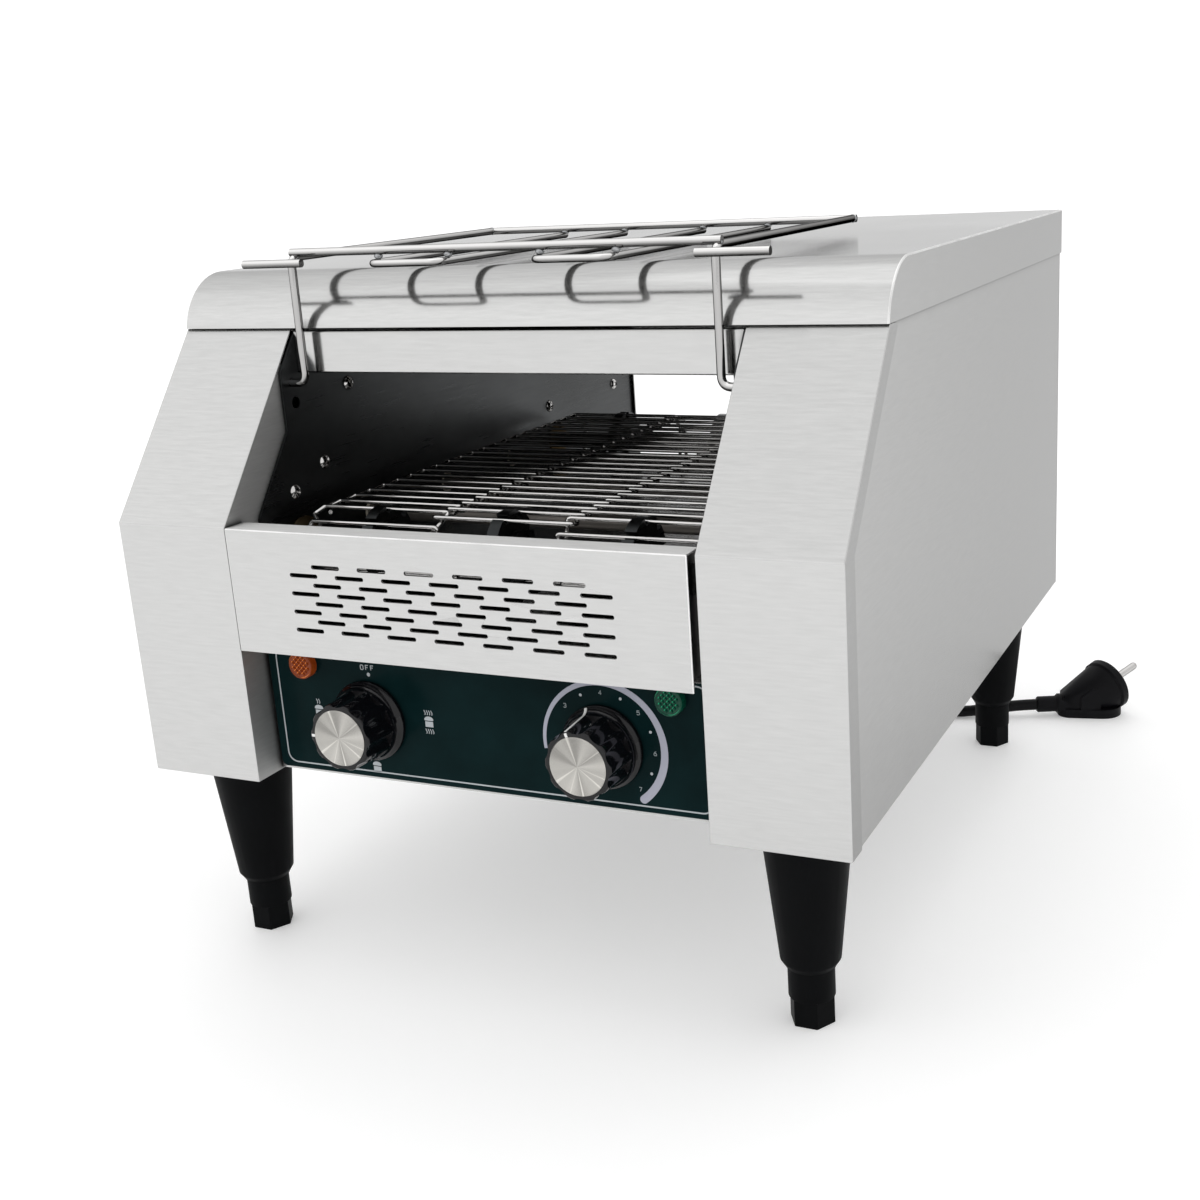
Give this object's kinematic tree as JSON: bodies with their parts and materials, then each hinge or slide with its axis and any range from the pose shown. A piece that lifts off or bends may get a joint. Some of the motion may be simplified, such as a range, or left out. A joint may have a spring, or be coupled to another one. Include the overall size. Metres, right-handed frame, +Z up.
{
  "type": "conveyor toaster",
  "caption": "Counter-top conveyor toaster: stainless folded body on tapered legs, wire belt, perforated guard, control panel with knobs and lamps, hinged wire rack on top.",
  "frame": {"origin": "on the table, under the middle of the box round the toaster without its cord", "axes": "+Z up, the front with the knobs faces -Y, +X is to the right seen from the front"},
  "size_m": [0.4152, 0.5787, 0.348],
  "materials": {
    "brushed_steel": "brushed stainless sheet, lengthwise grain",
    "dark_steel": "heat-darkened dull steel",
    "chrome_wire": "bright drawn wire",
    "knob_plastic": "glossy black moulding",
    "leg_plastic": "satin black moulding",
    "cap_aluminium": "spun aluminium",
    "decal": "glossy dark green overlay",
    "amber_lens": "faceted amber lens",
    "green_lens": "faceted green lens",
    "heater_sheath": "oxidised heater sheath",
    "ceramic": "unglazed ceramic",
    "bush_brass": "oil-soaked sintered bronze",
    "switch_plastic": "moulded switch body",
    "board": "circuit board with its components",
    "motor_metal": "plated motor can",
    "cord_rubber": "satin black sheath"
  },
  "bodies": {
    "root": {"top_cover": "brushed_steel", "left_side_panel": "brushed_steel", "right_side_panel": "brushed_steel", "left_front_column": "brushed_steel", "right_front_column": "brushed_steel", "left_inner_wall": "dark_steel", "right_inner_wall": "dark_steel", "base_plate": "brushed_steel", "rear_panel": "brushed_steel", "front_lintel": "brushed_steel", "front_guard": "brushed_steel", "control_panel": "brushed_steel", "control_decal": "decal", "exit_chute": "brushed_steel", "upper_reflector": "brushed_steel", "lower_reflector": "brushed_steel", "upper_heaters": "heater_sheath", "lower_heaters": "heater_sheath", "heater_insulators": "ceramic", "wall_screws": "brushed_steel", "conveyor_belt": "chrome_wire", "shaft_bushes": "bush_brass", "drive_chain": "dark_steel", "gear_motor": "motor_metal", "motor_standoffs": "brushed_steel", "selector_switch": "switch_plastic", "speed_control": "leg_plastic", "speed_board": "board", "terminal_block": "switch_plastic", "amber_lamp": "amber_lens", "green_lamp": "green_lens", "lamp_holders": "leg_plastic", "legs": "leg_plastic", "leg_bolts": "chrome_wire", "cable_gland": "cord_rubber", "power_cord": "cord_rubber", "cord_coil": "cord_rubber", "cord_tail": "cord_rubber", "mains_plug": "knob_plastic", "plug_pins": "chrome_wire"},
    "tray": {"crumb_tray": "brushed_steel"},
    "drive": {"drive_shaft": "chrome_wire", "drive_sprockets": "dark_steel", "shaft_chain_wheel": "dark_steel"},
    "idler": {"idler_shaft": "chrome_wire", "idler_sprockets": "dark_steel"},
    "motor_wheel": {"motor_chain_wheel": "dark_steel"},
    "selector": {"selector_knob": "knob_plastic", "selector_knob_cap": "cap_aluminium", "selector_spindle": "chrome_wire"},
    "speed_dial": {"speed_knob": "knob_plastic", "speed_knob_cap": "cap_aluminium", "speed_spindle": "chrome_wire"},
    "rack": {"warming_rack": "chrome_wire"},
    "foot_fl": {"front_left_foot": "leg_plastic"},
    "foot_fr": {"front_right_foot": "leg_plastic"},
    "foot_rl": {"rear_left_foot": "leg_plastic"},
    "foot_rr": {"rear_right_foot": "leg_plastic"}
  },
  "joints": [
    {"name": "tray_slide", "type": "slide", "parent": "root", "child": "tray", "axis": [0, 1, 0], "range_m": [0, 0.28]},
    {"name": "drive_turn", "type": "hinge", "parent": "root", "child": "drive", "pos_m": [0, 0.1073, 0.20701], "axis": [-1, 0, 0], "continuous": true, "deforming": ["conveyor_belt"]},
    {"name": "idler_turn", "type": "hinge", "parent": "root", "child": "idler", "pos_m": [0, -0.1594, 0.20701], "axis": [-1, 0, 0], "continuous": true},
    {"name": "motor_turn", "type": "hinge", "parent": "root", "child": "motor_wheel", "pos_m": [0.129, 0.0373, 0.147], "axis": [-1, 0, 0], "continuous": true},
    {"name": "selector_turn", "type": "hinge", "parent": "root", "child": "selector", "pos_m": [-0.0625, -0.206, 0.129], "axis": [0, 1, 0], "range_deg": [-270, 0]},
    {"name": "speed_turn", "type": "hinge", "parent": "root", "child": "speed_dial", "pos_m": [0.0625, -0.206, 0.129], "axis": [0, 1, 0], "range_deg": [-135, 165]},
    {"name": "rack_lift", "type": "hinge", "parent": "root", "child": "rack", "pos_m": [0, -0.155, 0.284], "axis": [1, 0, 0], "range_deg": [0, 110]},
    {"name": "foot_fl_turn", "type": "hinge", "parent": "root", "child": "foot_fl", "pos_m": [-0.152, -0.183, 0], "axis": [0, 0, 1], "continuous": true},
    {"name": "foot_fr_turn", "type": "hinge", "parent": "root", "child": "foot_fr", "pos_m": [0.152, -0.183, 0], "axis": [0, 0, 1], "continuous": true},
    {"name": "foot_rl_turn", "type": "hinge", "parent": "root", "child": "foot_rl", "pos_m": [-0.152, 0.174, 0], "axis": [0, 0, 1], "continuous": true},
    {"name": "foot_rr_turn", "type": "hinge", "parent": "root", "child": "foot_rr", "pos_m": [0.152, 0.174, 0], "axis": [0, 0, 1], "continuous": true}
  ],
  "couplings": [
    {"joint": "idler_turn", "follows": "drive_turn", "ratio": 1},
    {"joint": "motor_turn", "follows": "drive_turn", "ratio": 1.6667}
  ]
}
